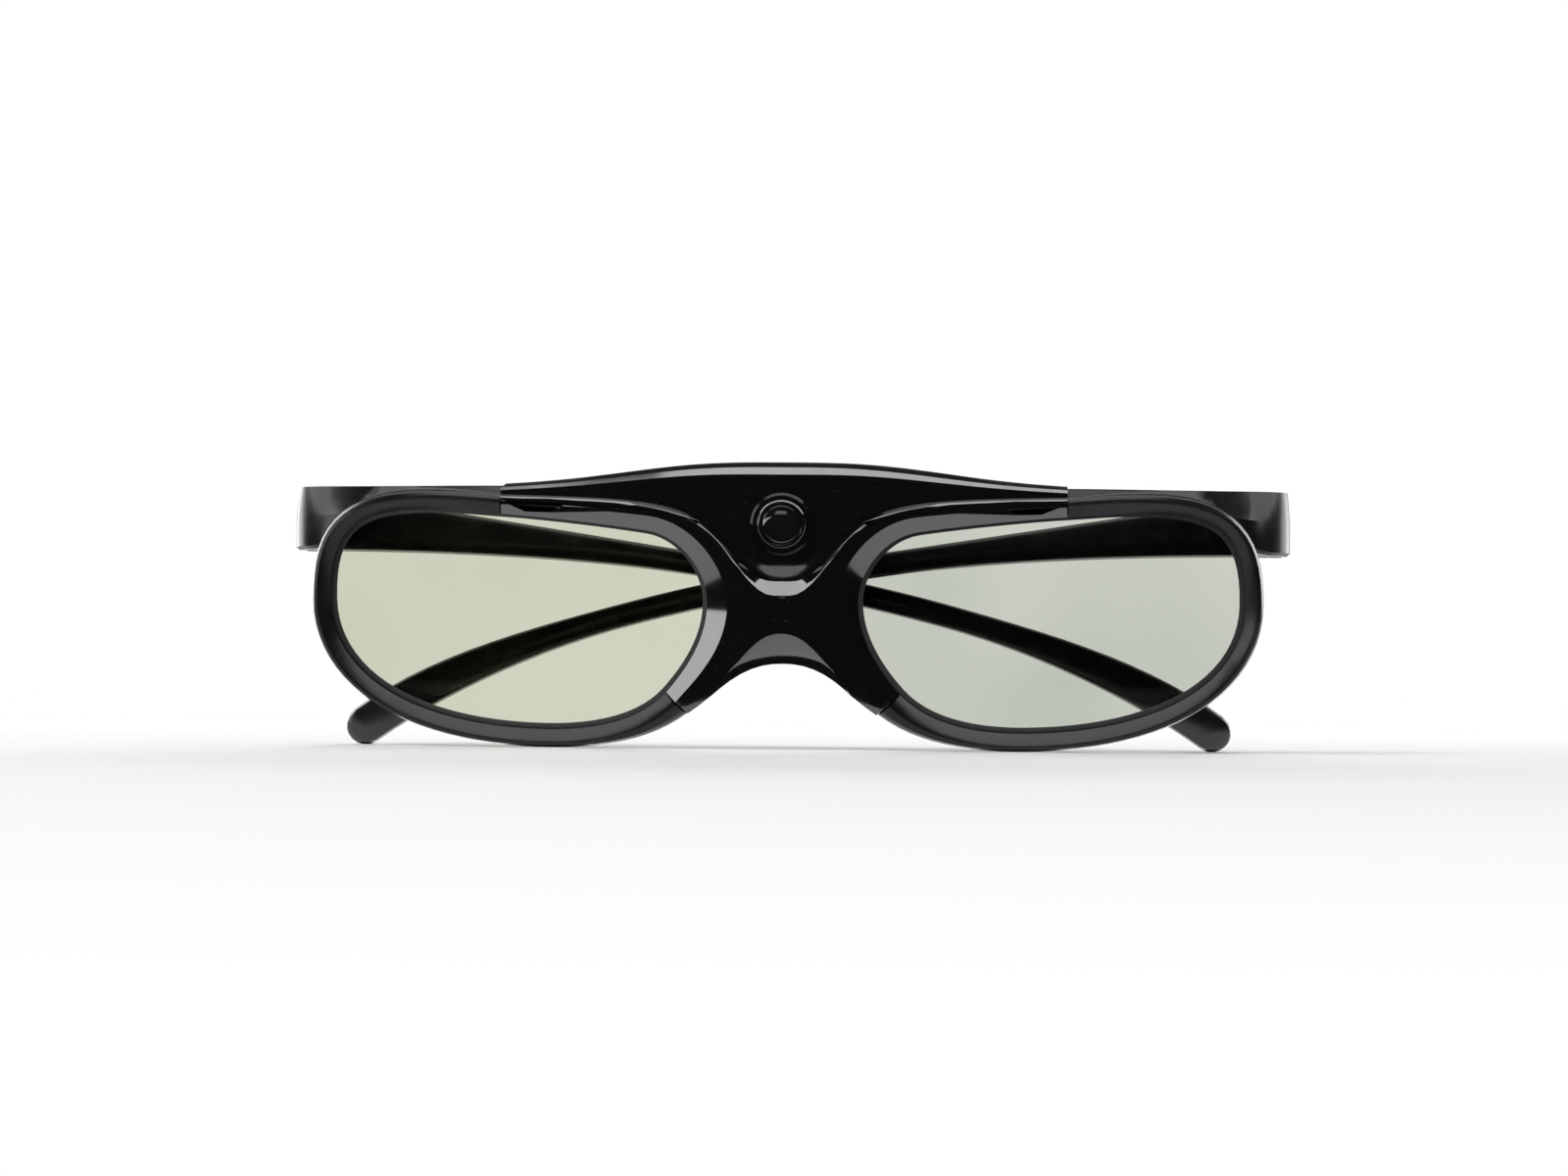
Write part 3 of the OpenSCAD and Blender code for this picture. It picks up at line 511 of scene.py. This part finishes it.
def shell(node, name, body, finish, width, angle, steps=2):
    bpy.ops.object.select_all(action="DESELECT")
    nodes[node].select_set(True)
    bpy.context.view_layer.objects.active = nodes[node]
    bpy.ops.object.duplicate()
    piece = bpy.context.object
    piece.name = name
    for key in list(piece.keys()):
        del piece[key]
    piece.parent = None
    piece.matrix_world = Matrix.Identity(4)
    bpy.ops.mesh.customdata_custom_splitnormals_clear()
    bpy.ops.object.mode_set(mode="EDIT")
    bpy.ops.mesh.select_all(action="SELECT")
    bpy.ops.mesh.remove_doubles(threshold=MERGE_WITHIN)
    bpy.ops.mesh.dissolve_limited(angle_limit=FLAT_WITHIN)
    bpy.ops.object.mode_set(mode="OBJECT")
    if width:
        broken = piece.modifiers.new("broken_edge", "BEVEL")
        broken.width = width
        broken.segments = steps
        broken.limit_method = "ANGLE"
        broken.angle_limit = radians(angle)
        broken.use_clamp_overlap = True
        bpy.ops.object.modifier_apply(modifier=broken.name)
    bpy.ops.object.shade_smooth_by_angle(angle=radians(angle))
    piece.data.materials.clear()
    piece.data.materials.append(finish)
    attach(piece, body)
    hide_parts(node)
    print(name, len(piece.data.polygons), "faces")
    return piece


print("shell helper ready")

# %% [markdown]
# ## Centre cover and its ridge
# A sweeping ridge runs over the cover, where the brow panel steps down to the lands around the lenses. On the
# real cover it is softly rounded, and the light draws one thin line along it. A bevel on all edges would also
# round the crisp chamfers, so the ridge's own edges are found by how they fold, where they are and which way
# their faces look.

# %% Copy the cover and find its ridge
COVER_SMOOTH = 22
RIDGE_FOLD = radians(18)
RIDGE_LOW, RIDGE_HIGH = 0.0235, 0.0424
RIDGE_REACH = 0.0466
SENSOR_HEIGHT, SENSOR_CLEAR = 0.0375, 0.0066
FORWARD, UPWARD = -0.85, 0.3
cover = shell("centre_cover", "gloss_centre_cover", "front", gloss_black, 0.0, COVER_SMOOTH)


def on_ridge(edge):
    if len(edge.link_faces) != 2 or edge.calc_face_angle_signed(0) < RIDGE_FOLD:
        return False
    middle = (edge.verts[0].co + edge.verts[1].co) / 2
    near_sensor = Vector((middle.x, middle.z - SENSOR_HEIGHT)).length < SENSOR_CLEAR
    if near_sensor or not RIDGE_LOW < middle.z < RIDGE_HIGH or abs(middle.x) > RIDGE_REACH:
        return False
    a, b = (face.normal for face in edge.link_faces)
    return (a.y < FORWARD and b.z > UPWARD) or (b.y < FORWARD and a.z > UPWARD)


bpy.ops.object.mode_set(mode="EDIT")
bpy.ops.mesh.select_mode(type="FACE")
bpy.ops.mesh.select_all(action="DESELECT")
body = bmesh.from_edit_mesh(cover.data)
ridge = [edge for edge in body.edges if on_ridge(edge)]
for edge in ridge:
    for corner in edge.verts:
        for face in corner.link_faces:
            face.select_set(True)
bmesh.update_edit_mesh(cover.data)
print("ridge found:", len(ridge), "edges")

# %% [markdown]
# ## Rounding the ridge
# Diagonals of the triangles beside the ridge would kink the bevel, so these triangles become quads first.
# The bevel then follows a weight on each edge, which is small at the bridge, where the step stays crisp, and
# full to either side.

# %% Weigh and round the ridge
QUAD_FOLD, QUAD_SHAPE = radians(16), radians(120)
CRISP_TO, FULL_AFTER, CRISP_WEIGHT = 0.002, 0.004, 0.12
RIDGE_PERCENT, RIDGE_STEPS = 60, 4
bpy.ops.mesh.tris_convert_to_quads(face_threshold=QUAD_FOLD, shape_threshold=QUAD_SHAPE)
body = bmesh.from_edit_mesh(cover.data)
weight = body.edges.layers.float.new("bevel_weight_edge")
for edge in body.edges:
    if on_ridge(edge):
        off_middle = abs(edge.verts[0].co.x + edge.verts[1].co.x) / 2
        edge[weight] = min(1.0, max(CRISP_WEIGHT, (off_middle - CRISP_TO) / FULL_AFTER))
print("ridge edges:", sum(edge[weight] > 0 for edge in body.edges))
bmesh.update_edit_mesh(cover.data)
bpy.ops.object.mode_set(mode="OBJECT")
bpy.ops.object.select_all(action="DESELECT")
cover.select_set(True)
bpy.context.view_layer.objects.active = cover
rounded = cover.modifiers.new("rounded_ridge", "BEVEL")
rounded.offset_type = "PERCENT"
rounded.width_pct = RIDGE_PERCENT
rounded.segments = RIDGE_STEPS
rounded.limit_method = "WEIGHT"
bpy.ops.object.modifier_apply(modifier=rounded.name)
bpy.ops.object.shade_smooth_by_angle(angle=radians(COVER_SMOOTH))
print("cover:", len(cover.data.polygons), "faces")

# %% [markdown]
# ## The other shells
# The bezels, the rear frame and the arms have their rounded forms in the solids already, so they are only
# merged and shaded. The screws, the sensor's window and the power button are turned or punched pieces, and
# get a bevel of a tenth to a quarter of a millimetre.

# %% Bezels, arms and hinge screws
SHELL_SMOOTH, HARD_SMOOTH, WINDOW_SMOOTH = 30, 35, 20
SCREW_EDGE, WINDOW_EDGE, BUTTON_EDGE = 0.0001, 0.00015, 0.00025
for side in ("left", "right"):
    shell(side + "_bezel", side + "_satin_bezel", "front", satin_shell, 0.0, SHELL_SMOOTH)
    shell(side + "_temple", side + "_satin_arm", side + "_arm", satin_arm, 0.0, HARD_SMOOTH)
    shell(side + "_hinge_screw", side + "_hinge_screw_head", "front", screw_steel,
          SCREW_EDGE, HARD_SMOOTH)

# %% Rear frame, window, button and frame screws
shell("rear_frame", "satin_rear_frame", "front", satin_shell, 0.0, SHELL_SMOOTH)
shell("sensor_window", "dark_sensor_window", "front", window_dark, WINDOW_EDGE, WINDOW_SMOOTH)
shell("power_button", "satin_power_button", "button", satin_shell, BUTTON_EDGE, HARD_SMOOTH, 3)
shell("frame_screws", "frame_screw_set", "front", screw_steel, SCREW_EDGE, HARD_SMOOTH)
